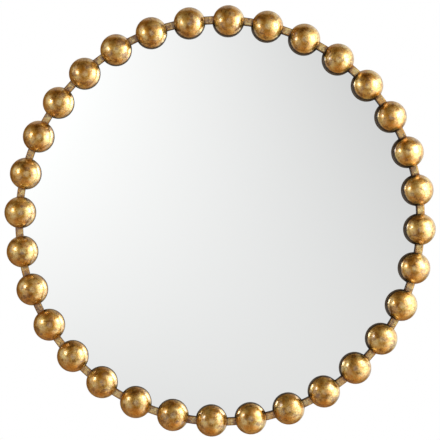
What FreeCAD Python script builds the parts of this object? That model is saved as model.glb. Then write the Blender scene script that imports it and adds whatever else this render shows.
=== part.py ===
import FreeCAD, Part
import math
import os

from FreeCAD import Vector

# A round wall mirror. Hollow gilded balls are threaded on a square tube hoop and seated on
# the front edge of a rolled rim. The rim holds the glass and its backing panel, and two
# strap hangers with D-rings are screwed to the panel's back.
#
# Millimetres. +Z is up, the glass faces -Y and the wall is the plane Y = 0. The origin is the
# mirror's centre in that plane. A depth is a distance from the wall towards the room.

# Ring of balls
ball_count = 32
ball_circle_radius = 423.4  # the circle through the ball centres
ball_radius = 33.6
ball_wall = 1.5
ball_seat_grind = 1.0  # ground off the back of a ball where it is welded to the rim

# Square tube hoop, which shows between the balls
hoop_side = 16.0
hoop_wall = 1.5
hoop_corner_radius = 2.0
hoop_outset = 2.0  # from the ball circle out to the tube's centre line
hoop_hole_clearance = 0.2  # all round the tube in a ball's two holes

# Rim, a flat bar rolled on edge
rim_depth = 25.0
rim_thickness = 3.0
rim_edge_break = 0.4

# Glass, its tape and its panel, from the front to the back
glass_behind_seats = 1.0  # from the balls' ground seats back to the glass
glass_thickness = 4.0
glass_arris = 0.6
tape_thickness = 1.0
tape_width = 25.0
tape_strip_count = 7
tape_pitch = 105.0
tape_edge_margin = 30.0  # from the glass edge in to the ends of the strips
panel_thickness = 9.0
panel_edge_break = 0.8
disc_edge_clearance = 0.5  # from the glass and the panel out to the rim

# Tabs that hold the panel in the rim
tab_count = 6
tab_width = 20.0
tab_reach = 26.0
tab_thickness = 2.0
tab_corner_radius = 4.0
tab_screw_inset = 15.0  # from the rim in to the screw

# Wood screws
screw_shank_radius = 1.75
screw_head_radius = 3.6
screw_head_height = 2.4
screw_head_edge = 0.9
screw_tip_length = 2.5
screw_cross_length = 3.6
screw_cross_width = 0.8
screw_cross_depth = 1.1
screw_hole_clearance = 0.05
panel_skin = 1.5  # wood left between a screw's tip and the panel's front

# Strap hangers
hanger_inset = 51.0  # from the panel's edge in to a D-ring's pivot
strap_width = 16.0
strap_thickness = 1.2
strap_length = 47.0
strap_end_radius = 6.0
strap_rise = 0.4  # the strap lifts off the panel by this much as it reaches its knuckle
strap_rise_length = 6.0
strap_knuckle_turn = 280.0  # degrees that the strap is rolled round the D-ring's bar
strap_first_screw = 25.0  # from the pivot down to the first screw
strap_screw_pitch = 14.0

# D-rings
ring_wire_radius = 1.5
ring_half_width = 11.5  # to the wire's centre line
ring_leg = 4.5  # from the bar down to where the round begins
ring_bend_radius = 2.8
ring_running_clearance = 0.1

# Places that follow
ball_centre_depth = rim_depth + ball_radius - ball_seat_grind
hoop_centre_radius = ball_circle_radius + hoop_outset
rim_outer_radius = ball_circle_radius
rim_inner_radius = rim_outer_radius - rim_thickness
disc_radius = rim_inner_radius - disc_edge_clearance
glass_front_depth = rim_depth - glass_behind_seats
glass_back_depth = glass_front_depth - glass_thickness
panel_front_depth = glass_back_depth - tape_thickness
panel_back_depth = panel_front_depth - panel_thickness
tab_screw_radius = rim_inner_radius - tab_screw_inset
hanger_turn = 360 / tab_count  # from the top, midway between two tabs
knuckle_bore_radius = ring_wire_radius + ring_running_clearance
knuckle_radius = knuckle_bore_radius + strap_thickness
pivot_above_panel = strap_rise + knuckle_radius


def turned(outline):
    """A solid turned about the mirror's axis. Each point of the outline is (radius, depth)."""
    points = [Vector(radius, -depth, 0) for radius, depth in outline]
    face = Part.Face(Part.makePolygon(points + points[:1]))
    return face.revolve(Vector(), Vector(0, 1, 0), 360)


def disc(radius, back_depth, front_depth, edge_break):
    """A flat disc on the mirror's axis, with both its edges broken."""
    inside = radius - edge_break
    return turned(
        [
            (0, back_depth),
            (inside, back_depth),
            (radius, back_depth + edge_break),
            (radius, front_depth - edge_break),
            (inside, front_depth),
            (0, front_depth),
        ]
    )


def square_ring(side, corner_radius):
    """A closed ring of rounded square section that follows the hoop's centre line."""
    half = side / 2
    flat = half - corner_radius
    slant = flat + corner_radius * math.sqrt(0.5)
    centre = Vector(hoop_centre_radius, -ball_centre_depth, 0)
    edges = []
    for x, y in ((1, 1), (-1, 1), (-1, -1), (1, -1)):
        # one corner's arc, then the side that leads to the next corner
        across = Vector(x * half, y * flat, 0)
        along = Vector(x * flat, y * half, 0)
        first, last = (across, along) if x == y else (along, across)
        following = Vector(-first.y, first.x, 0)
        middle = Vector(x * slant, y * slant, 0)
        edges.append(Part.Arc(centre + first, centre + middle, centre + last).toShape())
        edges.append(Part.makeLine(centre + last, centre + following))
    section = Part.Face(Part.Wire(edges))
    return section.revolve(Vector(), Vector(0, 1, 0), 360)


def hoop():
    """The square tube, rolled to a circle and welded shut."""
    inner_corner = max(hoop_corner_radius - hoop_wall, hoop_wall / 4)
    bore = square_ring(hoop_side - 2 * hoop_wall, inner_corner)
    return square_ring(hoop_side, hoop_corner_radius).cut(bore)


def top_ball():
    """The ball at the top: a shell, pierced for the hoop and ground flat where it seats."""
    centre = Vector(0, -ball_centre_depth, ball_circle_radius)
    ball = Part.makeSphere(ball_radius, centre)
    ball = ball.cut(Part.makeSphere(ball_radius - ball_wall, centre))
    hole_corner = hoop_corner_radius + hoop_hole_clearance
    ball = ball.cut(square_ring(hoop_side + 2 * hoop_hole_clearance, hole_corner))
    corner = Vector(-ball_radius, -rim_depth, ball_circle_radius - ball_radius)
    behind_seat = Part.makeBox(2 * ball_radius, ball_radius, 2 * ball_radius, corner)
    return ball.cut(behind_seat)


def balls():
    """Every ball, numbered clockwise from the top as the room sees them."""
    first = top_ball()
    pieces = {}
    for number in range(ball_count):
        ball = first.copy()
        ball.rotate(Vector(), Vector(0, 1, 0), number * 360 / ball_count)
        pieces[f"ball_{number + 1:02d}"] = ball
    return pieces


def rim_band():
    """The rolled flat bar. Its back edge meets the wall and its front edge carries the balls."""
    inner, outer, edge = rim_inner_radius, rim_outer_radius, rim_edge_break
    return turned(
        [
            (inner + edge, 0),
            (outer - edge, 0),
            (outer, edge),
            (outer, rim_depth - edge),
            (outer - edge, rim_depth),
            (inner + edge, rim_depth),
            (inner, rim_depth - edge),
            (inner, edge),
        ]
    )


def mirror_tape():
    """Upright strips of tape, each as long as the circle leaves room for."""
    reach = disc_radius - tape_edge_margin
    strips = []
    for number in range(tape_strip_count):
        middle = (number - (tape_strip_count - 1) / 2) * tape_pitch
        half_length = math.sqrt(reach**2 - (abs(middle) + tape_width / 2) ** 2)
        corner = Vector(middle - tape_width / 2, -glass_back_depth, -half_length)
        strips.append(Part.makeBox(tape_width, tape_thickness, 2 * half_length, corner))
    return Part.makeCompound(strips)


def round_foot_plate(width, bottom, top, corner_radius, thickness):
    """An upright plate centred on X = 0, its back on Y = 0, its two lower corners rounded."""
    half = width / 2
    flat = half - corner_radius
    arc_top = bottom + corner_radius
    slant = corner_radius * (1 - math.sqrt(0.5))
    right_arc = Part.Arc(
        Vector(half, 0, arc_top), Vector(half - slant, 0, bottom + slant), Vector(flat, 0, bottom)
    )
    left_arc = Part.Arc(
        Vector(-flat, 0, bottom), Vector(slant - half, 0, bottom + slant), Vector(-half, 0, arc_top)
    )
    outline = [
        Part.makeLine(Vector(half, 0, top), Vector(half, 0, arc_top)),
        right_arc.toShape(),
        Part.makeLine(Vector(flat, 0, bottom), Vector(-flat, 0, bottom)),
        left_arc.toShape(),
        Part.makeLine(Vector(-half, 0, arc_top), Vector(-half, 0, top)),
        Part.makeLine(Vector(-half, 0, top), Vector(half, 0, top)),
    ]
    return Part.Face(Part.Wire(outline)).extrude(Vector(0, thickness, 0))


def tab_turns():
    """The angle of each tab, clockwise from the top."""
    return [(number + 0.5) * 360 / tab_count for number in range(tab_count)]


def panel_tabs():
    """Steel tabs on the rim's inner wall, each with a clearance hole for its screw."""
    bottom = rim_inner_radius - tab_reach
    tab = round_foot_plate(tab_width, bottom, rim_outer_radius, tab_corner_radius, tab_thickness)
    axis = Vector(0, 1, 0)
    tab = tab.common(Part.makeCylinder(rim_inner_radius, tab_thickness, Vector(), axis))
    hole = Part.makeCylinder(
        screw_shank_radius + screw_hole_clearance, tab_thickness, Vector(0, 0, tab_screw_radius), axis
    )
    tab = tab.cut(hole)
    tab.translate(Vector(0, -panel_back_depth, 0))
    tabs = []
    for turn in tab_turns():
        piece = tab.copy()
        piece.rotate(Vector(), axis, turn)
        tabs.append(piece)
    return Part.makeCompound(tabs)


def wood_screw(sheet):
    """A pan head screw for a sheet of this thickness, which its head meets at Y = 0."""
    length = sheet + panel_thickness - panel_skin
    dome_middle = Vector(
        screw_head_radius * math.sqrt(0.5),
        screw_head_edge + (screw_head_height - screw_head_edge) * math.sqrt(0.5),
        0,
    )
    below_head = Part.makePolygon(
        [
            Vector(0, screw_head_height, 0),
            Vector(0, -length, 0),
            Vector(screw_shank_radius, screw_tip_length - length, 0),
            Vector(screw_shank_radius, 0, 0),
            Vector(screw_head_radius, 0, 0),
            Vector(screw_head_radius, screw_head_edge, 0),
        ]
    )
    dome = Part.Arc(
        Vector(screw_head_radius, screw_head_edge, 0), dome_middle, Vector(0, screw_head_height, 0)
    )
    outline = Part.Wire(below_head.Edges + [dome.toShape()])
    screw = Part.Face(outline).revolve(Vector(), Vector(0, 1, 0), 360)
    cross_bottom = screw_head_height - screw_cross_depth
    for length_x, length_z in (
        (screw_cross_length, screw_cross_width),
        (screw_cross_width, screw_cross_length),
    ):
        corner = Vector(-length_x / 2, cross_bottom, -length_z / 2)
        screw = screw.cut(Part.makeBox(length_x, screw_head_height, length_z, corner))
    return screw


def tab_screw_places():
    """Where each tab's screw enters the panel's back."""
    places = []
    for turn in tab_turns():
        angle = math.radians(turn)
        x = tab_screw_radius * math.sin(angle)
        z = tab_screw_radius * math.cos(angle)
        places.append(Vector(x, -panel_back_depth, z))
    return places


def hanger_places():
    """The point of the panel's back under each D-ring's pivot, left and right as the room sees them."""
    angle = math.radians(hanger_turn)
    x = (disc_radius - hanger_inset) * math.sin(angle)
    z = (disc_radius - hanger_inset) * math.cos(angle)
    return {"left": Vector(-x, -panel_back_depth, z), "right": Vector(x, -panel_back_depth, z)}


def strap_screw_drops():
    """How far below the pivot each of a strap's screws is."""
    return [strap_first_screw, strap_first_screw + strap_screw_pitch]


def hanger_screw_places():
    """Where each strap's screws enter the panel's back."""
    places = []
    for place in hanger_places().values():
        for drop in strap_screw_drops():
            places.append(place - Vector(0, 0, drop))
    return places


def screws(sheet, places):
    """The screws that hold a sheet of this thickness at these places."""
    one = wood_screw(sheet)
    pieces = []
    for place in places:
        piece = one.copy()
        piece.translate(place + Vector(0, sheet, 0))
        pieces.append(piece)
    return Part.makeCompound(pieces)


def back_panel():
    """The backing disc, with a blind pilot hole for every screw."""
    panel = disc(disc_radius, panel_back_depth, panel_front_depth, panel_edge_break)
    hole_radius = screw_shank_radius + screw_hole_clearance
    hole_depth = panel_thickness - panel_skin
    for place in tab_screw_places() + hanger_screw_places():
        panel = panel.cut(Part.makeCylinder(hole_radius, hole_depth, place, Vector(0, -1, 0)))
    return panel


def strap():
    """A steel strap, flat on the panel and rolled into a knuckle at its top, over the origin."""
    thickness = strap_thickness
    pivot = Vector(0, pivot_above_panel, 0)
    start = math.radians(180)
    middle = start - math.radians(strap_knuckle_turn / 2)
    end = start - math.radians(strap_knuckle_turn)

    def round_pivot(radius, angle):
        return pivot + Vector(0, radius * math.cos(angle), radius * math.sin(angle))

    outside = [round_pivot(knuckle_radius, angle) for angle in (start, middle, end)]
    inside = [round_pivot(knuckle_bore_radius, angle) for angle in (end, middle, start)]
    foot = Vector(0, 0, -strap_length)
    foot_top = Vector(0, thickness, -strap_length)
    rise = Vector(0, 0, -strap_rise_length)
    rise_top = Vector(0, thickness, -strap_rise_length)
    outline = [
        Part.makeLine(foot, rise),
        Part.makeLine(rise, outside[0]),
        Part.Arc(*outside).toShape(),
        Part.makeLine(outside[2], inside[0]),
        Part.Arc(*inside).toShape(),
        Part.makeLine(inside[2], rise_top),
        Part.makeLine(rise_top, foot_top),
        Part.makeLine(foot_top, foot),
    ]
    body = Part.Face(Part.Wire(outline)).extrude(Vector(strap_width, 0, 0))
    body.translate(Vector(-strap_width / 2, 0, 0))
    height = pivot_above_panel + knuckle_radius
    plan = round_foot_plate(strap_width, -strap_length, knuckle_radius, strap_end_radius, height)
    body = body.common(plan)
    hole_radius = screw_shank_radius + screw_hole_clearance
    for drop in strap_screw_drops():
        place = Vector(0, 0, -drop)
        body = body.cut(Part.makeCylinder(hole_radius, thickness, place, Vector(0, 1, 0)))
    return body


def d_ring():
    """A D of round wire that hangs from its straight bar. The bar lies in the strap's knuckle."""
    half = ring_half_width
    bend = ring_bend_radius
    slant = bend * (1 - math.sqrt(0.5))

    def at(x, z):
        return Vector(x, pivot_above_panel, z)

    path = [
        Part.makeLine(at(0, 0), at(half - bend, 0)),
        Part.Arc(at(half - bend, 0), at(half - slant, -slant), at(half, -bend)).toShape(),
        Part.makeLine(at(half, -bend), at(half, -ring_leg)),
        Part.Arc(at(half, -ring_leg), at(0, -ring_leg - half), at(-half, -ring_leg)).toShape(),
        Part.makeLine(at(-half, -ring_leg), at(-half, -bend)),
        Part.Arc(at(-half, -bend), at(slant - half, -slant), at(bend - half, 0)).toShape(),
        Part.makeLine(at(bend - half, 0), at(0, 0)),
    ]
    section = Part.Wire(Part.makeCircle(ring_wire_radius, at(0, 0), Vector(1, 0, 0)))
    return Part.Wire(path).makePipeShell([section], True, False)


def hangers():
    """Both straps and both D-rings, each moved from the origin to its place."""
    pieces = {}
    for side, place in hanger_places().items():
        for name, piece in (("hanger_strap", strap()), ("d_ring", d_ring())):
            piece.translate(place)
            pieces[f"{name}_{side}"] = piece
    return pieces


def main():
    pieces = balls()
    pieces["hoop"] = hoop()
    pieces["rim_band"] = rim_band()
    pieces["mirror_glass"] = disc(disc_radius, glass_back_depth, glass_front_depth, glass_arris)
    pieces["mirror_tape"] = mirror_tape()
    pieces["back_panel"] = back_panel()
    pieces["panel_tabs"] = panel_tabs()
    pieces["panel_screws"] = screws(tab_thickness, tab_screw_places())
    pieces.update(hangers())
    pieces["hanger_screws"] = screws(strap_thickness, hanger_screw_places())

    os.makedirs("parts", exist_ok=True)
    for name, shape in pieces.items():
        shape.exportStep(f"parts/{name}.step")
        print(name, "solids", len(shape.Solids), "valid", shape.isValid(), "mm3", round(shape.Volume))


main()
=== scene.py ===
import math

import bmesh
import bpy
import numpy as np
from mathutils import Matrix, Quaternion, Vector


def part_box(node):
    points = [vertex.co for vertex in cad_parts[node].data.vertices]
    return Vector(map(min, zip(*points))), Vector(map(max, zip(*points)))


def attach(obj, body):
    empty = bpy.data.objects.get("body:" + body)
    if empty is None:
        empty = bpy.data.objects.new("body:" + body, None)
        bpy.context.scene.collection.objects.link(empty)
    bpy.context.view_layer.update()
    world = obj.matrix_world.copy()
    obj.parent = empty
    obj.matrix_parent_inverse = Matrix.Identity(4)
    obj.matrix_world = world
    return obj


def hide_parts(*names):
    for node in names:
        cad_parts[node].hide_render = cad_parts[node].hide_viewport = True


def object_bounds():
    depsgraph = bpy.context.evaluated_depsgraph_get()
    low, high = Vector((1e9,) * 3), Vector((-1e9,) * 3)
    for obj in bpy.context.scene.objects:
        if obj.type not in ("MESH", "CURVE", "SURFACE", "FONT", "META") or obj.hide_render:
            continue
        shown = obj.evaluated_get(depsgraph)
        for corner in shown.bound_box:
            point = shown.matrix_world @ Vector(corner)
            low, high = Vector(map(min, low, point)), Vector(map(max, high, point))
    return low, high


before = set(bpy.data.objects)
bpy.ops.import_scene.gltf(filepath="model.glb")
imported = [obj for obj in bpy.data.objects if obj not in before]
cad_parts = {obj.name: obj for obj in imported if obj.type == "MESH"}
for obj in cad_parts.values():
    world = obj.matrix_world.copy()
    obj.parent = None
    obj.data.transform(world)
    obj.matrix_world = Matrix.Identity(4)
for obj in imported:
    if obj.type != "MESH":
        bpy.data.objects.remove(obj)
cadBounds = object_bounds()
mm = 0.001
body = "mirror"

# sizes read off the frame
ballLow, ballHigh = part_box("ball_01")  # the ball at the top
ballRadius = (ballHigh.z - ballLow.z) / 2
ringRadius = (ballHigh.z + ballLow.z) / 2
ballMiddleY = ballLow.y + ballRadius
seatY = ballHigh.y  # the flat ground on each ball's back
hoopLow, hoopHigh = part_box("hoop")
hoopSide = hoopHigh.y - hoopLow.y
hoopRadius = hoopHigh.x - hoopSide / 2
rimLow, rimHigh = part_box("rim_band")
glassLow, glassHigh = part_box("mirror_glass")
ballNames = sorted(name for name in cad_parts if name.startswith("ball_"))
print("frame read:", len(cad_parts), "nodes,", len(ballNames), "balls")


# Six times the volume inside: the sum of a . (b x c) over each quad's two triangles.
def signedVolume(points, faces):
    a, b, c, d = (points[faces[:, k]] for k in range(4))
    first = np.einsum("ij,ij->i", a, np.cross(b, c))
    second = np.einsum("ij,ij->i", a, np.cross(c, d))
    return (first + second).sum()


# A smooth shaded piece from a point array and a quad array, turned to face outwards.
def makePiece(name, points, faces, materials, faceMaterial=None, shades=None, poles=False):
    if signedVolume(points, faces) < 0:
        faces = faces[:, ::-1]
    mesh = bpy.data.meshes.new(name)
    mesh.vertices.add(len(points))
    mesh.vertices.foreach_set("co", points.astype(np.float32).ravel())
    mesh.loops.add(faces.size)
    mesh.loops.foreach_set("vertex_index", faces.astype(np.int32).ravel())
    mesh.polygons.add(len(faces))
    mesh.polygons.foreach_set("loop_start", np.arange(0, faces.size, 4, dtype=np.int32))
    mesh.update(calc_edges=True)
    mesh.polygons.foreach_set("use_smooth", np.ones(len(faces), bool))
    for material in materials:
        mesh.materials.append(material)
    if faceMaterial is not None:
        mesh.polygons.foreach_set("material_index", faceMaterial.astype(np.int32))
    for label, values in (shades or {}).items():
        layer = mesh.attributes.new(label, "FLOAT", "POINT")
        layer.data.foreach_set("value", values.astype(np.float32).ravel())
    mesh.validate()
    if poles:
        # the many points of a pole row become one
        shell = bmesh.new()
        shell.from_mesh(mesh)
        bmesh.ops.remove_doubles(shell, verts=shell.verts, dist=1e-7)
        shell.to_mesh(mesh)
        shell.free()
    piece = bpy.data.objects.new(name, mesh)
    bpy.context.scene.collection.objects.link(piece)
    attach(piece, body)
    return piece


# Quads between neighbouring rows and columns of a grid. Columns always wrap round.
def gridFaces(rows, columns, wrapRows=True):
    lastRow = rows if wrapRows else rows - 1
    row, column = np.meshgrid(np.arange(lastRow), np.arange(columns), indexing="ij")
    nextRow, nextColumn = (row + 1) % rows, (column + 1) % columns
    corners = [row * columns + column, row * columns + nextColumn]
    corners += [nextRow * columns + nextColumn, nextRow * columns + column]
    return np.stack(corners, -1).reshape(-1, 4)


# Each profile point (radius, y) goes round the Y axis: x = radius sin a, z = radius cos a.
def ringSurface(profile, turns):
    angle = np.linspace(0, 2 * np.pi, turns, endpoint=False)
    radius, y = profile[:, 0, None], profile[:, 1, None]
    points = [radius * np.sin(angle), y + 0 * angle, radius * np.cos(angle)]
    return np.stack(points, -1)


# A new material with a Principled shader whose plain sockets are set from values.
def startMaterial(name, **values):
    material = bpy.data.materials.new(name)
    material.use_nodes = True
    shader = material.node_tree.nodes["Principled BSDF"]
    for socket, value in values.items():
        shader.inputs[socket.replace("_", " ")].default_value = value
    return material, material.node_tree, shader


# One node. Inputs are values or sockets; underscores in their names stand for blanks.
def addNode(tree, kind, settings=None, **inputs):
    node = tree.nodes.new(kind)
    for label, value in (settings or {}).items():
        setattr(node, label, value)
    for label, value in inputs.items():
        socket = node.inputs[int(label[1:])] if label[1:].isdigit() else node.inputs[label.replace("_", " ")]
        if isinstance(value, bpy.types.NodeSocket):
            tree.links.new(value, socket)
        else:
            socket.default_value = value
    return node


# A Math node's answer.
def calc(tree, operation, a, b=0.0, clamp=False):
    settings = {"operation": operation, "use_clamp": clamp}
    return addNode(tree, "ShaderNodeMath", settings, _0=a, _1=b).outputs[0]


# Several numbers or sockets multiplied together. The last step is held between 0 and 1 if clamp is set.
def product(tree, *parts, clamp=False):
    answer = parts[0]
    for part in parts[1:-1]:
        answer = calc(tree, "MULTIPLY", answer, part)
    return calc(tree, "MULTIPLY", answer, parts[-1], clamp)


# The distance from the origin in the plane of two axes, such as XZ.
def distanceAcross(tree, place, axes):
    apart = addNode(tree, "ShaderNodeSeparateXYZ", None, Vector=place).outputs
    flat = addNode(tree, "ShaderNodeCombineXYZ", None, **{axis: apart[axis] for axis in axes}).outputs[0]
    return addNode(tree, "ShaderNodeVectorMath", {"operation": "LENGTH"}, _0=flat).outputs["Value"]


# Fine relief on a shader, from a height of 0 to 1 and its depth in metres.
def addRelief(tree, shader, height, strength, depth):
    relief = addNode(tree, "ShaderNodeBump", None, Strength=strength, Distance=depth, Height=height)
    tree.links.new(relief.outputs["Normal"], shader.inputs["Normal"])


# A smooth step of value from low to high.
def ramp(tree, value, low, high, toLow=0.0, toHigh=1.0):
    node = addNode(tree, "ShaderNodeMapRange", {"interpolation_type": "SMOOTHSTEP"})
    for socket, setting in (("From Min", low), ("From Max", high), ("To Min", toLow), ("To Max", toHigh)):
        node.inputs[socket].default_value = setting
    tree.links.new(value, node.inputs["Value"])
    return node.outputs["Result"]


# A noise texture's value, about 0.5.
def noise(tree, vector, scale, detail=3.0, roughness=0.55, distortion=0.0):
    return addNode(
        tree, "ShaderNodeTexNoise", None,
        Vector=vector, Scale=scale, Detail=detail, Roughness=roughness, Distortion=distortion,
    ).outputs["Fac"]


# Two colours mixed by factor. Each is a socket or (r, g, b).
def blendColours(tree, factor, first, second):
    node = addNode(tree, "ShaderNodeMix", {"data_type": "RGBA"})
    tree.links.new(factor, node.inputs["Factor"])
    for socket, colour in ((node.inputs[6], first), (node.inputs[7], second)):
        if isinstance(colour, bpy.types.NodeSocket):
            tree.links.new(colour, socket)
        else:
            socket.default_value = (*colour, 1.0)
    return node.outputs[2]


# A shader node group. Inputs are name: default, and outputs are names, all values but Vector.
def startGroup(name, inputs, outputs):
    group = bpy.data.node_groups.new(name, "ShaderNodeTree")
    for label, default in inputs.items():
        kind = "NodeSocketVector" if label == "Vector" else "NodeSocketFloat"
        socket = group.interface.new_socket(label, in_out="INPUT", socket_type=kind)
        if default is not None:
            socket.default_value = default
    for label in outputs:
        group.interface.new_socket(label, in_out="OUTPUT", socket_type="NodeSocketFloat")
    return group, group.nodes.new("NodeGroupInput").outputs, group.nodes.new("NodeGroupOutput").inputs


def useGroup(tree, group, vector, **values):
    node = tree.nodes.new("ShaderNodeGroup")
    node.node_tree = group
    tree.links.new(vector, node.inputs["Vector"])
    for label, value in values.items():
        node.inputs[label].default_value = value
    return node.outputs


def objectPlace(tree):
    return addNode(tree, "ShaderNodeTexCoord").outputs["Object"]


# A noise's scale is in marks to the metre, and a pair after it is the ramp that its value goes through.
leafPattern = {
    "broad": 48.0,
    "close": 190.0,
    "closeShare": 0.4,
    "warp": 90.0,
    "warpReach": 12 * mm,
    "tearWidth": 0.08,  # as a share of a torn sheet
    "tearPlaces": (14.0, (0.36, 0.52)),
    "specks": (330.0, (0.58, 0.7)),
    "speckPlaces": (40.0, (0.47, 0.62)),
    "toned": (60.0, (0.49, 0.61)),
    "wrinkles": 240.0,
    "wrinkleShare": 0.7,
    "swells": 75.0,
    "brokenDepth": -0.4,
}


# Beaten leaf: soft patches, toned blotches, torn hairlines, pinholes and fine wrinkles.
def makeLeafGroup():
    group, given, result = startGroup(
        "leafSurface",
        {"Vector": None, "Sheets": 120.0, "Tears": 1.0, "Pinholes": 1.0},
        ["Tone", "Toned", "Torn", "Pinhole", "Height"],
    )
    look = leafPattern
    place = given["Vector"]
    broad = noise(group, place, look["broad"], 4.0, 0.62)
    close = noise(group, place, look["close"], 3.0, 0.6)
    broad = product(group, broad, 1 - look["closeShare"])
    tone = calc(group, "ADD", broad, product(group, close, look["closeShare"]))

    warp = addNode(
        group, "ShaderNodeTexNoise", None, Vector=place, Scale=look["warp"], Detail=4.0, Roughness=0.6
    )
    shifted = addNode(
        group, "ShaderNodeVectorMath", {"operation": "MULTIPLY_ADD"},
        _0=warp.outputs["Color"], _1=(look["warpReach"],) * 3, _2=place,
    ).outputs[0]
    cells = addNode(
        group, "ShaderNodeTexVoronoi", {"feature": "DISTANCE_TO_EDGE"}, Vector=shifted, Scale=given["Sheets"]
    )
    hairline = ramp(group, cells.outputs["Distance"], 0.0, look["tearWidth"], 1.0, 0.0)
    scale, span = look["tearPlaces"]
    tearPlaces = ramp(group, noise(group, place, scale, 2.0), *span)
    torn = product(group, hairline, tearPlaces, given["Tears"], clamp=True)

    scale, span = look["specks"]
    specks = ramp(group, noise(group, place, scale, 2.0, 0.55), *span)
    scale, span = look["speckPlaces"]
    speckPlaces = ramp(group, noise(group, place, scale, 3.0), *span)
    pinhole = product(group, specks, speckPlaces, given["Pinholes"], clamp=True)
    scale, span = look["toned"]
    toned = ramp(group, noise(group, shifted, scale, 5.0, 0.72), *span)

    wrinkles = product(group, noise(group, place, look["wrinkles"], 3.0, 0.5, 0.6), look["wrinkleShare"])
    height = calc(group, "ADD", wrinkles, noise(group, place, look["swells"], 2.0))
    broken = product(group, calc(group, "ADD", torn, pinhole), look["brokenDepth"])
    height = calc(group, "ADD", height, broken)
    answers = {"Tone": tone, "Toned": toned, "Torn": torn, "Pinhole": pinhole, "Height": height}
    for label, value in answers.items():
        group.links.new(value, result[label])
    return group


markPattern = {
    "scratchTurn": (0.3, 0.5, 0.2),
    "scratchSquash": 0.06,  # the lower, the longer a scratch is for its width
    "scratches": (0.55, 0.75),
    "smudges": (14.0, (0.4, 0.7)),
    "dust": (1400.0, (0.55, 0.8)),
}


# Handling marks: long fine scratches, soft smudges and settled dust.
def makeWearGroup():
    group, given, result = startGroup(
        "handlingMarks", {"Vector": None, "Fine": 300.0, "Amount": 1.0}, ["Scratch", "Smudge", "Dust"]
    )
    look = markPattern
    place = given["Vector"]
    stretch = addNode(group, "ShaderNodeMapping", None, Vector=place)
    stretch.inputs["Rotation"].default_value = look["scratchTurn"]
    stretch.inputs["Scale"].default_value = (1.0, 1.0, look["scratchSquash"])
    lines = noise(group, stretch.outputs[0], given["Fine"], 3.0, 0.7)
    marks = {"Scratch": ramp(group, lines, *look["scratches"])}
    scale, span = look["smudges"]
    marks["Smudge"] = ramp(group, noise(group, place, scale, 3.0), *span)
    scale, span = look["dust"]
    marks["Dust"] = ramp(group, noise(group, place, scale, 2.0), *span)
    for label, mark in marks.items():
        group.links.new(product(group, mark, given["Amount"], clamp=True), result[label])
    return group


leafSurface = makeLeafGroup()
handlingMarks = makeWearGroup()

gilding = {
    "rich": (0.78, 0.385, 0.034),
    "pale": (1.0, 0.78, 0.26),
    "toner": (0.25, 0.098, 0.010),
    "bole": (0.17, 0.060, 0.008),
    # the dark base coat on the bare backs, which also paints the shade round the balls beside the glass
    "baseCoatAndShade": (0.016, 0.009, 0.005),
    "lacquer": 1.0,
    "gloss": {"Coat_Roughness": 0.14, "Coat_IOR": 2.15, "Specular_IOR_Level": 0.3},
    "wrapOutside": 2.6,  # outside the ball circle the leaf goes further back by this share of the way out
    "leafEnd": (-0.6 * mm, 2.2 * mm),  # the leaf thins out over this distance
    "leftBehind": 0.25,  # how much of the leaf's specks remains on the bare back
    "specksBehind": (260.0, (0.52, 0.66)),  # scales and spans as in leafPattern
    "raggedScale": 170.0,
    "edgeSpecks": (420.0, 0.8),  # scale, and how much they add to an edge's wear
    "edgeSpan": (0.8, 1.2),  # over this span of wear the leaf breaks
    # bole colour round the joints, partly dirt and partly painted shade that damps the glints between ball
    # and hoop
    "grimeAndShadePlaces": (300.0, (0.3, 0.6)),
    "dulled": 0.85,  # the share of the lacquer that breaks and dirt take away
    # the joints' painted shade takes lacquer away along with their dirt
    "lessMetal": 0.2,  # in a break
    "rougher": {"broken": 0.25, "grimeAndShade": 0.3, "tone": 0.2},
    "reliefDepth": 0.6 * mm,
}


# How far each place lies behind the line where the leaf ends. On the rim that line is a ring inside the ball
# circle. On the balls and the hoop it lies in front of the balls' middle, as the look's edge says, so the
# dark coat behind it paints the shade round each ball beside the glass. The line's lean follows x and z, and
# puts more of that painted shade on the right and at the top.
def behindLeafAndShade(tree, place, leafLook):
    outward = distanceAcross(tree, place, "XZ")
    if "bareInside" in leafLook:
        behind = calc(tree, "SUBTRACT", ringRadius - leafLook["bareInside"], outward)
    else:
        x, y, z = addNode(tree, "ShaderNodeSeparateXYZ", None, Vector=place).outputs
        middle, shadeLeanX, shadeLeanZ = leafLook["edge"]
        outside = calc(tree, "MAXIMUM", calc(tree, "SUBTRACT", outward, ringRadius), 0.0)
        behind = calc(tree, "SUBTRACT", y, ballMiddleY + middle)
        behind = calc(tree, "SUBTRACT", behind, product(tree, x, shadeLeanX / ringRadius))
        behind = calc(tree, "SUBTRACT", behind, product(tree, z, shadeLeanZ / ringRadius))
        behind = calc(tree, "SUBTRACT", behind, product(tree, outside, gilding["wrapOutside"]))
    ragged = calc(tree, "SUBTRACT", noise(tree, place, gilding["raggedScale"], 4.0, 0.65), 0.5)
    return calc(tree, "ADD", behind, product(tree, ragged, leafLook["ragged"] * 2))
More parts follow.
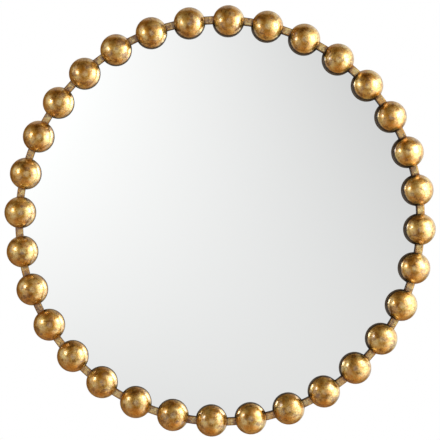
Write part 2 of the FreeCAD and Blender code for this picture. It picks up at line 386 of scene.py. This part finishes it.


# Leaf over red-brown bole over a dark base coat, which is left bare behind, next to the glass. Where the
# bare coat reaches forward round the balls beside the glass, it is painted shade.
def makeGilded(name, leafLook):
    material, tree, shader = startMaterial(name, **gilding["gloss"])
    place = objectPlace(tree)
    leaf = useGroup(
        tree, leafSurface, place,
        Sheets=leafLook["sheets"], Tears=leafLook["tears"], Pinholes=leafLook["pinholes"],
    )
    pale = ramp(tree, leaf["Tone"], *leafLook["tones"])
    colour = blendColours(tree, pale, gilding["rich"], gilding["pale"])
    colour = blendColours(tree, product(tree, leaf["Toned"], leafLook["toning"]), colour, gilding["toner"])

    scale, span = gilding["specksBehind"]
    remains = ramp(tree, noise(tree, place, scale, 4.0, 0.7), *span, 1.0, 1.0 - gilding["leftBehind"])
    # the bare dark back, which is painted shade where it reaches forward round the balls beside the glass
    bareBackAndShade = product(tree, ramp(tree, behindLeafAndShade(tree, place, leafLook), *gilding["leafEnd"]), remains)

    edge = addNode(tree, "ShaderNodeAttribute", {"attribute_name": "worn"}).outputs["Fac"]
    scale, share = gilding["edgeSpecks"]
    edge = calc(tree, "ADD", edge, product(tree, noise(tree, place, scale, 3.0), share))
    edgeBreak = product(tree, ramp(tree, edge, *gilding["edgeSpan"]), leafLook["bareEdges"])
    broken = calc(tree, "MAXIMUM", calc(tree, "MAXIMUM", leaf["Torn"], leaf["Pinhole"]), edgeBreak)
    # round the joints: bole colour that is partly dirt and partly painted shade, which darkens them and damps
    # glints
    joint = addNode(tree, "ShaderNodeAttribute", {"attribute_name": "joint"}).outputs["Fac"]
    scale, span = gilding["grimeAndShadePlaces"]
    grimeAndShade = product(tree, joint, ramp(tree, noise(tree, place, scale, 3.0), *span, 0.55, 1.0), clamp=True)

    colour = blendColours(tree, product(tree, broken, leafLook["break"]), colour, gilding["bole"])
    colour = blendColours(tree, grimeAndShade, colour, gilding["bole"])
    colour = blendColours(tree, bareBackAndShade, colour, gilding["baseCoatAndShade"])
    tree.links.new(colour, shader.inputs["Base Color"])
    lessMetal = calc(tree, "MAXIMUM", product(tree, broken, gilding["lessMetal"]), bareBackAndShade)
    tree.links.new(calc(tree, "SUBTRACT", 1.0, lessMetal, True), shader.inputs["Metallic"])

    rougher = gilding["rougher"]
    rough = product(tree, calc(tree, "MAXIMUM", broken, grimeAndShade), rougher["broken"])
    rough = calc(tree, "ADD", leafLook["roughness"], rough)
    toneOff = calc(tree, "SUBTRACT", leaf["Tone"], 0.5)
    rough = calc(tree, "ADD", rough, product(tree, toneOff, rougher["tone"]))
    rough = calc(tree, "ADD", rough, product(tree, grimeAndShade, rougher["grimeAndShade"]))
    tree.links.new(rough, shader.inputs["Roughness"])
    addRelief(tree, shader, leaf["Height"], leafLook["bump"], gilding["reliefDepth"])

    # broken holds the edge breaks too
    unsealed = product(tree, calc(tree, "MAXIMUM", grimeAndShade, broken), gilding["dulled"])
    unsealed = calc(tree, "MAXIMUM", unsealed, bareBackAndShade)
    tree.links.new(calc(tree, "SUBTRACT", gilding["lacquer"], unsealed, True), shader.inputs["Coat Weight"])
    return material


# An edge says how far behind the balls' middle the leaf ends, and what adds to that at the far right and
# at the top. The dark band this leaves round each ball beside the glass is painted shade, and so is the lean.
leafLooks = {
    "ball": {
        # in front of the middle, and leaning to the right and the top: painted shade round each ball beside
        # the glass
        "edge": (-13.0 * mm, -5.2 * mm, -2.5 * mm),
        "ragged": 2.0 * mm,
        "sheets": 125.0,  # to the metre
        "tears": 0.62,
        "pinholes": 0.45,
        "tones": (0.40, 0.65),
        "toning": 0.8,
        "break": 0.8,
        "bareEdges": 0.0,
        "roughness": 0.36,
        "bump": 0.34,
    },
    "hoop": {
        "edge": (-6.6 * mm, 0.0, 0.0),
        "ragged": 1.2 * mm,
        "sheets": 160.0,
        "tears": 1.0,
        "pinholes": 1.0,
        "tones": (0.42, 0.60),
        "toning": 0.9,
        "break": 0.8,
        "bareEdges": 1.0,
        "roughness": 0.3,
        "bump": 1.0,
    },
    "rim": {
        "bareInside": 2.2 * mm,  # within the ball circle
        "ragged": 0.8 * mm,
        "sheets": 90.0,
        "tears": 1.0,
        "pinholes": 1.0,
        "tones": (0.36, 0.66),
        "toning": 0.7,
        "break": 0.8,
        "bareEdges": 0.8,
        "roughness": 0.34,
        "bump": 0.5,
    },
}
ballGold, hoopGold, rimGold = (makeGilded(name + "_gold_leaf", look) for name, look in leafLooks.items())
print("gilding ready")

ballShape = {
    "columns": 72,
    "outerRows": 20,  # from the middle to a hole
    "innerRows": 7,
    "wall": 1.5 * mm,
    "lip": 0.35 * mm,
    "lastRow": 0.88,  # one more row this share of the way from the last one to the hole
    "holeHalf": hoopSide / 2 + 0.2 * mm,
    "holeCorner": 2.2 * mm,
    # how far the dirt and painted shade round each hole reach, and how strong they are
    "grimeAndShadeReach": 5.0 * mm,
    "grimeAndShade": 0.9,
}


# How far a rounded square's edge is from its middle along each angle. On a flat it is half / cos a. In a
# corner with centre c and radius r it is c.d + sqrt(r^2 - c.c + (c.d)^2), where d is the direction.
def squareReach(angle, half, corner):
    across = np.maximum(np.abs(np.cos(angle)), np.abs(np.sin(angle)))
    along = np.minimum(np.abs(np.cos(angle)), np.abs(np.sin(angle)))
    inset = half - corner
    towardsCorner = inset * (across + along)
    onCorner = towardsCorner + np.sqrt(np.maximum(corner**2 - 2 * inset**2 + towardsCorner**2, 0))
    return np.where(half * along / across <= inset, half / across, onCorner)


# A pierced shell about its own middle, as (along, out, back) points. Rows run from hole to hole on the
# outside by slerp, (sin((1-w)k) middle + sin(wk) hole) / sin k, and back again on the inside. Columns go
# round the line through the holes.
def ballSurface():
    shape = ballShape
    u = np.linspace(0, 2 * np.pi, shape["columns"], endpoint=False)
    reach = squareReach(u, shape["holeHalf"], shape["holeCorner"])
    # the hoop's middle line passes this far out from the ball's, where it enters the ball
    offset = math.sqrt(hoopRadius**2 - ballRadius**2) - ringRadius
    holeOut, holeBack = offset + reach * np.cos(u), reach * np.sin(u)

    def halfShell(radius, rows):
        along = np.sqrt(radius**2 - holeOut**2 - holeBack**2)
        hole = np.stack([along, holeOut, holeBack], -1) / radius
        middle = np.stack([0 * u, np.cos(u), np.sin(u)], -1)
        angle = np.arccos(np.clip((hole * middle).sum(-1), -1, 1))[None, :, None]
        w = np.linspace(0, 1, rows + 1)[:, None, None]
        return radius * (np.sin((1 - w) * angle) * middle + np.sin(w * angle) * hole) / np.sin(angle)

    outer = halfShell(ballRadius, shape["outerRows"])
    inner = halfShell(ballRadius - shape["wall"], shape["innerRows"])
    lip = outer[-1] - np.array([shape["lip"], 0, 0])
    flip = np.array([-1, 1, 1])
    lastRow = outer[-2] * (1 - shape["lastRow"]) + outer[-1] * shape["lastRow"]
    outerHalf = np.concatenate([outer[:-1], lastRow[None], lip[None]])
    rows = [outerHalf, inner[::-1], inner[1:] * flip, outerHalf[:0:-1] * flip]
    points = np.concatenate(rows)
    # dirt and painted shade that fade out from each hole
    nearHole = outer[-1] * np.where(points[..., :1] < 0, flip, 1)
    toHole = np.linalg.norm(points - nearHole, axis=-1)
    grimeAndShade = np.clip(1 - toHole / shape["grimeAndShadeReach"], 0, 1) * shape["grimeAndShade"]
    # the back of the outside is ground flat
    outside = np.linalg.norm(points, axis=-1) > ballRadius - shape["lip"]
    back = points[..., 2]
    points[..., 2] = np.where(outside, np.minimum(back, seatY - ballMiddleY), back)
    return points, grimeAndShade


# Turns (along, out, back) into the frame, at this angle clockwise from the top.
def placeBall(points, turn):
    out = ringRadius + points[..., 1]
    x = out * math.sin(turn) + points[..., 0] * math.cos(turn)
    z = out * math.cos(turn) - points[..., 0] * math.sin(turn)
    return np.stack([x, ballMiddleY + points[..., 2], z], -1)


ballPoints, ballGrimeAndShade = ballSurface()
ballFaces = gridFaces(*ballPoints.shape[:2])
for index, name in enumerate(ballNames):
    points = placeBall(ballPoints, 2 * math.pi * index / len(ballNames))
    ball = makePiece(
        "gilded_" + name, points.reshape(-1, 3), ballFaces, [ballGold],
        shades={"joint": ballGrimeAndShade},
    )
    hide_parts(name)
print("balls ready:", len(ballNames), "of", len(ballFaces) * 2, "triangles")

hoopShape = {"turns": 640, "corner": 2.0 * mm, "cornerSteps": 6, "flatSteps": 4, "grimeAndShadeReach": 3.0 * mm}


# Closed outline: for each corner an arc of corner radius, then points along the flat to the next.
def squareProfile(half, corner, cornerSteps, flatSteps):
    outline, worn = [], []
    inset = half - corner
    for quarter in range(4):
        angle = np.pi / 2 * (quarter + np.linspace(0, 1, cornerSteps))
        diagonal = np.pi / 4 * (2 * quarter + 1)
        centre = inset * np.sign([math.cos(diagonal), math.sin(diagonal)])
        arc = centre + corner * np.stack([np.cos(angle), np.sin(angle)], -1)
        onward = np.array([-math.sin(angle[-1]), math.cos(angle[-1])])
        step = np.linspace(0, 2 * inset, flatSteps + 2)[1:-1, None]
        outline += [arc, arc[-1] + step * onward]
        worn += [np.sin(np.linspace(0, np.pi, cornerSteps)), np.zeros(flatSteps)]
    return np.concatenate(outline), np.concatenate(worn)


# The tube's rounded square outline, carried round the mirror's axis.
def makeHoop():
    shape = hoopShape
    outline, worn = squareProfile(hoopSide / 2, shape["corner"], shape["cornerSteps"], shape["flatSteps"])
    points = ringSurface(outline + np.array([hoopRadius, ballMiddleY]), shape["turns"])
    turn = np.linspace(0, 2 * np.pi, shape["turns"], endpoint=False)
    pitch = 2 * np.pi / len(ballNames)
    # how far each point is from the nearest ball's surface, for the dirt and painted shade in the joint
    nearest = np.round(turn / pitch) * pitch
    middle = [ringRadius * np.sin(nearest), ballMiddleY + 0 * turn, ringRadius * np.cos(nearest)]
    apart = np.linalg.norm(points - np.stack(middle, -1), axis=-1) - ballRadius
    joint = np.clip(1 - apart / shape["grimeAndShadeReach"], 0, 1)
    wear = np.repeat(worn[:, None], shape["turns"], 1)
    hoop = makePiece(
        "gilded_hoop", points.reshape(-1, 3), gridFaces(*points.shape[:2]), [hoopGold],
        shades={"joint": joint, "worn": wear},
    )
    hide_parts("hoop")


makeHoop()
print("hoop ready")

easedIn = 0.3  # how far in an eased edge's middle lies, as a share of the edge's width
rimShape = {
    "turns": 512,
    "thickness": 3.0 * mm,
    "edge": 0.4 * mm,
    "wornPlaces": ((0.08, 0.25), (0.5, 0.0), (0.92, 0.25)),  # along each flat, and how worn it is there
    "wornCorner": (0.75, 1.0, 0.75),
}
weldShape = {
    "length": 15 * mm,
    "size": 2.1 * mm,  # from its middle line to its surface
    "rows": 25,
    "columns": 14,
    "blunt": 0.6,  # the lower, the blunter its ends
    "ripples": 14,
    "rippleHeight": 0.09,
    "out": 0.4 * mm,
    "back": 0.5 * mm,  # behind the ball's ground seat
}


# A flat bar's outline with eased edges, carried round the mirror's axis. Each corner is three points:
# one on each flat, and between them one that lies easedIn of the edge's width inside both flats.
def makeRim():
    edge, outer = rimShape["edge"], ringRadius
    inner = outer - rimShape["thickness"]
    back, front = rimHigh.y, rimLow.y
    corners = [(inner, back), (outer, back), (outer, front), (inner, front)]
    inward = [(1, -1), (-1, -1), (-1, 1), (1, 1)]
    outline, worn = [], []
    for index, ((radius, y), (dr, dy)) in enumerate(zip(corners, inward)):
        rounded = (radius + dr * edge * easedIn, y + dy * edge * easedIn)
        eased = [(radius, y + dy * edge), rounded, (radius + dr * edge, y)]
        outline += eased if dr * dy < 0 else eased[::-1]
        worn += rimShape["wornCorner"]
        start, following = np.array(outline[-1]), np.array(corners[(index + 1) % 4])
        for share, wornThere in rimShape["wornPlaces"]:
            outline.append(tuple(start + (following - start) * share))
            worn.append(wornThere)
    points = ringSurface(np.array(outline), rimShape["turns"])
    wear = np.repeat(np.array(worn)[:, None], rimShape["turns"], 1)
    rim = makePiece(
        "gilded_rim", points.reshape(-1, 3), gridFaces(*points.shape[:2]), [rimGold],
        shades={"worn": wear},
    )
    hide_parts("rim_band")


# A rippled bead under each ball, against the rim: an ellipsoid with blunt ends, whose girth is
# size sin(w)^blunt (1 + rippleHeight cos(ripples w)).
def makeWelds():
    shape = weldShape
    alongBead = np.linspace(0, np.pi, shape["rows"])
    roundBead = np.linspace(0, 2 * np.pi, shape["columns"], endpoint=False)
    w, u = np.meshgrid(alongBead, roundBead, indexing="ij")
    ripple = 1 + shape["rippleHeight"] * np.cos(shape["ripples"] * w)
    girth = shape["size"] * np.abs(np.sin(w)) ** shape["blunt"] * ripple
    girth[[0, -1]] = 0
    bead = np.stack([-shape["length"] / 2 * np.cos(w), girth * np.cos(u), girth * np.sin(u)], -1)
    bead = bead.reshape(-1, 3) + np.array([0, shape["out"], seatY - ballMiddleY + shape["back"]])
    faces = gridFaces(shape["rows"], shape["columns"], wrapRows=False)
    points, quads = [], []
    for index in range(len(ballNames)):
        points.append(placeBall(bead, 2 * math.pi * index / len(ballNames)))
        quads.append(faces + index * len(bead))
    makePiece("seat_welds", np.concatenate(points), np.concatenate(quads), [rimGold], poles=True)


makeRim()
makeWelds()
print("rim and welds ready")

glassShape = {
    "turns": 512,
    "arris": 0.6 * mm,
    "rings": (0.0, 0.05, 0.12, 0.2, 0.3, 0.38),  # radii of the rings of points on the flats
    "lastRing": 4 * mm,  # and one more this far from the edge
}
glassLook = {
    "silver": (0.93, 0.94, 0.935),
    "dust": (0.88, 0.89, 0.88),
    "dustAmount": 0.03,
    "gloss": (0.008, 0.014),  # roughness, and how much smudges add to it
    "edgeTint": (0.30, 0.46, 0.40),
    "edgeLight": (0.42, 0.58, 0.51),
    "backPaint": (0.18, 0.19, 0.20),
    "backWorn": (0.24, 0.25, 0.26),
}


def makeSilver():
    material, tree, shader = startMaterial("silvering", Metallic=1.0)
    marks = useGroup(tree, handlingMarks, objectPlace(tree), Fine=40.0, Amount=1.0)
    clean, smudged = glassLook["gloss"]
    rough = calc(tree, "ADD", clean, product(tree, marks["Smudge"], smudged))
    tree.links.new(rough, shader.inputs["Roughness"])
    dust = product(tree, marks["Dust"], glassLook["dustAmount"])
    colour = blendColours(tree, dust, glassLook["silver"], glassLook["dust"])
    tree.links.new(colour, shader.inputs["Base Color"])
    return material


def makeGlassEdge():
    material, tree, shader = startMaterial("polished_glass_edge", Roughness=0.16, IOR=1.52)
    shade = ramp(tree, noise(tree, objectPlace(tree), 120.0, 3.0), 0.3, 0.7)
    tint = blendColours(tree, shade, glassLook["edgeTint"], glassLook["edgeLight"])
    tree.links.new(tint, shader.inputs["Base Color"])
    return material


def makeBackPaint():
    material, tree, shader = startMaterial("mirror_back_paint", Roughness=0.5)
    marks = useGroup(tree, handlingMarks, objectPlace(tree), Fine=120.0, Amount=1.0)
    paint = blendColours(tree, marks["Smudge"], glassLook["backPaint"], glassLook["backWorn"])
    tree.links.new(paint, shader.inputs["Base Color"])
    return material


# The disc's outline from axis to axis, with a small arris at each edge, turned round Y. Two points lie
# close together where each flat meets its arris, so that the flat's shading stays flat.
def makeGlass():
    radius, arris = glassHigh.x, glassShape["arris"]
    front, back = glassLow.y, glassHigh.y
    flat = [*glassShape["rings"], radius - glassShape["lastRing"], radius - arris * 1.02]
    outline = [(r, front) for r in flat]
    inside = arris * easedIn
    outline += [(radius - arris, front), (radius - inside, front + inside), (radius, front + arris)]
    outline.append((radius, (front + back) / 2))
    outline += [(radius, back - arris), (radius - inside, back - inside), (radius - arris, back)]
    outline += [(r, back) for r in flat[::-1]]
    points = ringSurface(np.array(outline), glassShape["turns"])
    rows, columns = points.shape[:2]
    # silver in front, the polished edge, and paint at the back
    zone = np.full(rows - 1, 1)
    zone[:len(flat)] = 0
    zone[-len(flat):] = 2
    glass = makePiece(
        "silvered_glass", points.reshape(-1, 3), gridFaces(rows, columns, wrapRows=False),
        [makeSilver(), makeGlassEdge(), makeBackPaint()], faceMaterial=np.repeat(zone, columns), poles=True,
    )
    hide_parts("mirror_glass")


makeGlass()
print("glass ready")

boardLook = {
    "fibre": (0.42, 0.27, 0.15),
    "darkFibre": (0.25, 0.15, 0.078),
    "chip": (0.60, 0.43, 0.26),
    "resin": (0.15, 0.082, 0.042),
    "damp": (0.26, 0.16, 0.09),
    "feltSquash": 0.35,  # the lower, the longer the fibres are
    "fibreScale": 700.0,
    "bundleScale": 150.0,
    "sandingTurn": 0.06,
    "sandingSquash": 0.02,
    "sandingScale": 90.0,
    "cloudScale": 6.0,
    # the band that darkens towards the rim wall: its width and how dark it gets
    "rimWallDarkeningWidth": 16 * mm,
    "rimWallDarkening": 0.85,
    "roughness": 0.84,
    "smoothed": {"smudge": 0.16, "rimWallDarkening": 0.1},
    "reliefDepth": 0.4 * mm,
}
# colour, roughness, and how marked it is
steelPieces = {
    "tab": ((0.40, 0.385, 0.36), 0.36, 1.0),
    "strap": ((0.58, 0.56, 0.52), 0.28, 1.0),
    "ring": ((0.66, 0.64, 0.60), 0.2, 0.7),
    "screw": ((0.66, 0.60, 0.44), 0.3, 0.6),
}
steelLook = {
    "dust": (0.35, 0.31, 0.26),
    "dullScale": 160.0,
    "darker": 0.72,
    "rougher": {"dull": 0.14, "scratch": 0.12},
    "reliefDepth": 0.1 * mm,
}
tapeLook = {"foam": (0.92, 0.92, 0.90), "cell": (0.80, 0.80, 0.77), "cellScale": 1800.0}


# Pressed fibre board: felted fibres, paler chips, sanding streaks, damp clouds, darker and smoother near the
# rim wall.
def makeBoard():
    look = boardLook
    material, tree, shader = startMaterial("fibre_board")
    place = objectPlace(tree)
    felt = addNode(tree, "ShaderNodeMapping", None, Vector=place)
    felt.inputs["Scale"].default_value = (1.0, 1.0, look["feltSquash"])
    fibres = noise(tree, felt.outputs[0], look["fibreScale"], 5.0, 0.7, 0.4)
    bundles = noise(tree, felt.outputs[0], look["bundleScale"], 4.0, 0.75, 0.6)
    sanding = addNode(tree, "ShaderNodeMapping", None, Vector=place)
    sanding.inputs["Rotation"].default_value = (0, look["sandingTurn"], 0)
    sanding.inputs["Scale"].default_value = (1.0, 1.0, look["sandingSquash"])
    streaks = noise(tree, sanding.outputs[0], look["sandingScale"], 5.0, 0.7)
    cloud = noise(tree, place, look["cloudScale"], 5.0, 0.62, 0.3)
    colour = blendColours(tree, ramp(tree, fibres, 0.35, 0.65), look["darkFibre"], look["fibre"])
    colour = blendColours(tree, ramp(tree, bundles, 0.54, 0.72, 0.0, 0.7), colour, look["chip"])
    colour = blendColours(tree, ramp(tree, bundles, 0.30, 0.46, 0.55, 0.0), colour, look["resin"])
    colour = blendColours(tree, ramp(tree, streaks, 0.42, 0.66, 0.0, 0.5), colour, look["chip"])
    colour = blendColours(tree, ramp(tree, cloud, 0.46, 0.68, 0.0, 0.6), colour, look["damp"])

    # darker and less rough towards the rim wall, over an uneven width
    width = look["rimWallDarkeningWidth"]
    uneven = product(tree, noise(tree, place, 45.0, 4.0, 0.7), width)
    outward = calc(tree, "ADD", distanceAcross(tree, place, "XZ"), uneven)
    rimWall = ringRadius - rimShape["thickness"]
    rimWallDarkening = ramp(tree, outward, rimWall - width, rimWall + width / 2, 0.0, look["rimWallDarkening"])
    tree.links.new(blendColours(tree, rimWallDarkening, colour, look["resin"]), shader.inputs["Base Color"])
    marks = useGroup(tree, handlingMarks, place, Fine=160.0, Amount=1.0)
    smoothed = look["smoothed"]
    rough = calc(tree, "SUBTRACT", look["roughness"], product(tree, marks["Smudge"], smoothed["smudge"]))
    rough = calc(tree, "SUBTRACT", rough, product(tree, rimWallDarkening, smoothed["rimWallDarkening"]))
    tree.links.new(rough, shader.inputs["Roughness"])
    height = calc(tree, "ADD", fibres, product(tree, bundles, 0.8))
    addRelief(tree, shader, height, 0.5, look["reliefDepth"])
    return material


# Plated sheet steel with a drawn grain, scratches and dulled patches.
def makeSteel(name):
    look = steelLook
    colour, roughness, scratch = steelPieces[name]
    material, tree, shader = startMaterial(name + "_steel", Metallic=1.0)
    place = objectPlace(tree)
    marks = useGroup(tree, handlingMarks, place, Fine=900.0, Amount=scratch)
    dull = ramp(tree, noise(tree, place, look["dullScale"], 4.0), 0.35, 0.7)
    darker = tuple(look["darker"] * part for part in colour)
    tone = blendColours(tree, product(tree, dull, 0.6), colour, darker)
    tone = blendColours(tree, product(tree, marks["Dust"], 0.25), tone, look["dust"])
    tree.links.new(tone, shader.inputs["Base Color"])
    rough = calc(tree, "ADD", roughness, product(tree, dull, look["rougher"]["dull"]))
    rough = calc(tree, "ADD", rough, product(tree, marks["Scratch"], look["rougher"]["scratch"]))
    tree.links.new(rough, shader.inputs["Roughness"])
    addRelief(tree, shader, marks["Scratch"], 0.25, look["reliefDepth"])
    return material


def makeTape():
    material, tree, shader = startMaterial("foam_tape", Roughness=0.85)
    cells = noise(tree, objectPlace(tree), tapeLook["cellScale"], 2.0)
    tree.links.new(blendColours(tree, cells, tapeLook["cell"], tapeLook["foam"]), shader.inputs["Base Color"])
    return material


# Gives these CAD nodes this material.
def finish(material, *nodes):
    for node in nodes:
        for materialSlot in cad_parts[node].material_slots:
            materialSlot.material = material


finish(makeBoard(), "back_panel")
finish(makeTape(), "mirror_tape")
finish(makeSteel("tab"), "panel_tabs")
finish(makeSteel("strap"), "hanger_strap_left", "hanger_strap_right")
finish(makeSteel("ring"), "d_ring_left", "d_ring_right")
finish(makeSteel("screw"), "panel_screws", "hanger_screws")
print("board and hardware ready")

view = {
    "distance": 18.0,  # from the lens to the plane of the balls' middles
    "left": 0.25,  # how far the lens is left of the mirror's middle
    "roll": 2.42,  # degrees
    "ringPixels": 200.1,  # the ball circle's radius in the frame
    "framePixels": 440,
    "ringMiddle": (220.14, 220.85),  # where the ring's middle falls in the frame
    "sensor": 36.0,
}


def makeCamera():
    data = bpy.data.cameras.new("camera")
    camera = bpy.data.objects.new("camera", data)
    bpy.context.scene.collection.objects.link(camera)
    target = Vector((0, ballMiddleY, 0))
    camera.location = Vector((-view["left"], ballMiddleY - view["distance"], 0))
    away = target - camera.location
    turn = away.to_track_quat("-Z", "Y") @ Quaternion((0, 0, 1), math.radians(view["roll"]))
    camera.rotation_mode = "QUATERNION"
    camera.rotation_quaternion = turn
    data.sensor_width = view["sensor"]
    data.lens = view["ringPixels"] / view["framePixels"] * view["sensor"] * away.length / ringRadius
    half = view["framePixels"] / 2
    data.shift_x = (half - view["ringMiddle"][0]) / view["framePixels"]
    data.shift_y = (view["ringMiddle"][1] - half) / view["framePixels"]
    data.clip_end = 100
    bpy.context.scene.camera = camera


makeCamera()

studio = {
    "wallSlope": 0.02352,  # how much more a reflected ray leans at the glass's edge than at its middle
    "wallShift": 0.01389,  # how far it leans at the middle
    "wallLevel": 0.8965,  # brightness of the pale wall where the glass's middle shows it
    # what the place across and up the wall, and their products, add to it
    "wallLean": {"x": -0.164, "z": 0.031, "xz": -0.152, "xx": -0.011, "zz": -0.061},
    "wallLimits": (0.4, 1.08),
    "wallFade": (1.15, 2.6),  # from the glass's edge outwards, in its radii, the wall gives way to the room
    "room": 0.27,
    "ceiling": 0.15,
    "roomSpan": (-0.05, 0.8),
    "below": 0.45,
    "belowSpan": (-0.9, -0.3),
    "warm": (1.0, 0.54, 0.17),  # the room's colour where it is dim
    "cool": (0.97, 0.99, 1.0),  # and where daylight falls on it
    "daylight": (0.20, 0.62),
    "warmBelow": (-0.97, -0.6, 0.1),  # low down, daylight fades to this last share
    "darkest": 0.04,
    "whiteBehind": (16, 10),  # degrees from the camera's line, behind the mirror
    # the floor is this far below the mirror, and fades out between these two distances
    "floor": {
        "drop": 0.3,
        "fade": (0.5, 2.2),
        "edge": 0.1,  # the disc goes on this far past the fade
        "colour": (0.50, 0.50, 0.50),
        "grain": (0.47, 0.47, 0.47),
        "glow": 0.6,
    },
    # each soft patch of the room: degrees right of the camera's line, degrees up, half width, softness, level
    "patches": [
        (4, 0, 11, 18, 0.36),
        (32, 50, 8, 30, 0.34),
        (94, 2, 18, 34, 0.75),
        (74, -40, 8, 32, 0.72),
        (122, 38, 6, 34, 0.34),
        (-84, 16, 8, 26, 0.45),
        (-54, -21, 6, 28, 0.28),
        (-106, -39, 6, 26, 0.08),
        (146, 8, 10, 28, 0.55),
        (-165, 10, 10, 50, -0.06),
        (-10, 66, 8, 24, -0.11),
        (178, 48, 16, 24, 0.36),
    ],
    "lamps": {
        "keyRight": {"place": (1.35, -0.64, 0.5), "size": (0.85, 1.0), "level": 3.0},
        "panelRight": {"place": (1.5, -0.72, 0.28), "size": (2.3, 2.2), "level": 1.15},
        "fillLeft": {"place": (-1.95, -1.1, 0.46), "size": (0.62, 0.66), "level": 5.4},
        "backWash": {"place": (0.9, 2.5, 1.2), "size": (2.2, 2.2), "level": 3.3, "hidden": True},
    },
    "lampTint": (0.98, 1.0, 0.99),
}


# The direction this many degrees right of the way to the camera, and up.
def towards(side, up):
    a, e = math.radians(side), math.radians(up)
    return Vector((math.sin(a) * math.cos(e), -math.cos(a) * math.cos(e), math.sin(e)))


# White behind the object; to everything else a dim warm room with pale patches and a pale wall.
def makeWorld():
    world = bpy.data.worlds.new("studio")
    bpy.context.scene.world = world
    world.use_nodes = True
    tree = world.node_tree
    tree.nodes.clear()
    ray = addNode(tree, "ShaderNodeTexCoord").outputs["Generated"]
    x, y, z = addNode(tree, "ShaderNodeSeparateXYZ", None, Vector=ray).outputs
    level = ramp(tree, z, *studio["roomSpan"], studio["room"], studio["ceiling"])
    level = calc(tree, "MAXIMUM", level, ramp(tree, z, *studio["belowSpan"], studio["below"], 0.0))
    for side, up, half, soft, strength in studio["patches"]:
        middle = towards(side, up)
        dot = addNode(tree, "ShaderNodeVectorMath", {"operation": "DOT_PRODUCT"}, _0=ray, _1=middle)
        outer, inner = (math.cos(math.radians(angle)) for angle in (half + soft, half))
        level = calc(tree, "ADD", level, ramp(tree, dot.outputs["Value"], outer, inner, 0.0, strength))
    level = calc(tree, "MAXIMUM", level, studio["darkest"])
    low, high, least = studio["warmBelow"]
    daylight = product(tree, ramp(tree, level, *studio["daylight"]), ramp(tree, z, low, high, least, 1.0))
    room = blendColours(tree, daylight, studio["warm"], studio["cool"])
    room = addNode(tree, "ShaderNodeVectorMath", {"operation": "SCALE"}, Vector=room, Scale=level).outputs[0]

    # x and z are read on a wall in front, where the glass's own edge falls at 1
    forward = calc(tree, "MAXIMUM", product(tree, y, -1.0), 0.05)
    wallX = calc(tree, "SUBTRACT", calc(tree, "DIVIDE", x, forward), studio["wallShift"])
    wallX = calc(tree, "DIVIDE", wallX, studio["wallSlope"])
    wallZ = calc(tree, "DIVIDE", calc(tree, "DIVIDE", z, forward), studio["wallSlope"])
    lean = studio["wallLean"]
    terms = {"x": wallX, "z": wallZ, "xz": product(tree, wallX, wallZ)}
    terms["xx"] = product(tree, wallX, wallX)
    terms["zz"] = product(tree, wallZ, wallZ)
    wall = studio["wallLevel"]
    for label, term in terms.items():
        wall = calc(tree, "ADD", product(tree, term, lean[label]), wall)
    darkest, lightest = studio["wallLimits"]
    wall = calc(tree, "MINIMUM", calc(tree, "MAXIMUM", wall, darkest), lightest)
    spread = calc(tree, "SQRT", calc(tree, "ADD", terms["xx"], terms["zz"]))
    colour = blendColours(tree, ramp(tree, spread, *studio["wallFade"], 1.0, 0.0), room, wall)

    path = addNode(tree, "ShaderNodeLightPath").outputs
    behind = ramp(tree, y, *(math.cos(math.radians(angle)) for angle in studio["whiteBehind"]))
    shown = calc(tree, "MAXIMUM", path["Is Glossy Ray"], path["Is Transmission Ray"])
    shown = calc(tree, "MAXIMUM", path["Is Camera Ray"], product(tree, shown, behind))
    colour = blendColours(tree, shown, colour, (1, 1, 1))
    background = addNode(tree, "ShaderNodeBackground", None, Color=colour)
    output = addNode(tree, "ShaderNodeOutputWorld")
    tree.links.new(background.outputs[0], output.inputs["Surface"])


# Soft boxes. A lamp's power is its brightness times pi times its area.
def makeLamps():
    for name, lamp in studio["lamps"].items():
        data = bpy.data.lights.new(name, "AREA")
        data.shape = "RECTANGLE"
        data.size, data.size_y = lamp["size"]
        data.color = studio["lampTint"]
        data.energy = lamp["level"] * math.pi * lamp["size"][0] * lamp["size"][1]
        light = bpy.data.objects.new(name, data)
        bpy.context.scene.collection.objects.link(light)
        light.location = lamp["place"]
        light.rotation_mode = "QUATERNION"
        light.rotation_quaternion = (-Vector(lamp["place"])).to_track_quat("-Z", "Y")
        light.visible_camera = False
        light.visible_glossy = not lamp.get("hidden", False)


# A pale disc under the mirror that fades out into the white. It glows a little to the camera.
def makeFloor():
    look = studio["floor"]
    material, tree, shader = startMaterial("studio_floor", Roughness=0.7, Emission_Color=(1, 1, 1, 1))
    place = objectPlace(tree)
    fade = ramp(tree, distanceAcross(tree, place, "XY"), *look["fade"], 1.0, 0.0)
    tree.links.new(fade, shader.inputs["Alpha"])
    grain = noise(tree, place, 60.0, 3.0)
    tree.links.new(blendColours(tree, grain, look["colour"], look["grain"]), shader.inputs["Base Color"])
    toCamera = addNode(tree, "ShaderNodeLightPath").outputs["Is Camera Ray"]
    tree.links.new(product(tree, toCamera, look["glow"]), shader.inputs["Emission Strength"])
    radius = look["fade"][1] + look["edge"]
    angle = np.linspace(0, 2 * np.pi, 64, endpoint=False)
    height = cadBounds[0].z - look["drop"] + 0 * angle
    edge = np.stack([radius * np.cos(angle), radius * np.sin(angle), height], -1)
    mesh = bpy.data.meshes.new("floor")
    mesh.from_pydata(edge.tolist(), [], [list(range(len(edge)))])
    mesh.materials.append(material)
    floor = bpy.data.objects.new("floor", mesh)
    bpy.context.scene.collection.objects.link(floor)
    floor.visible_glossy = False


makeWorld()
makeLamps()
makeFloor()
bpy.context.scene.view_settings.view_transform = "Standard"
print("studio ready")
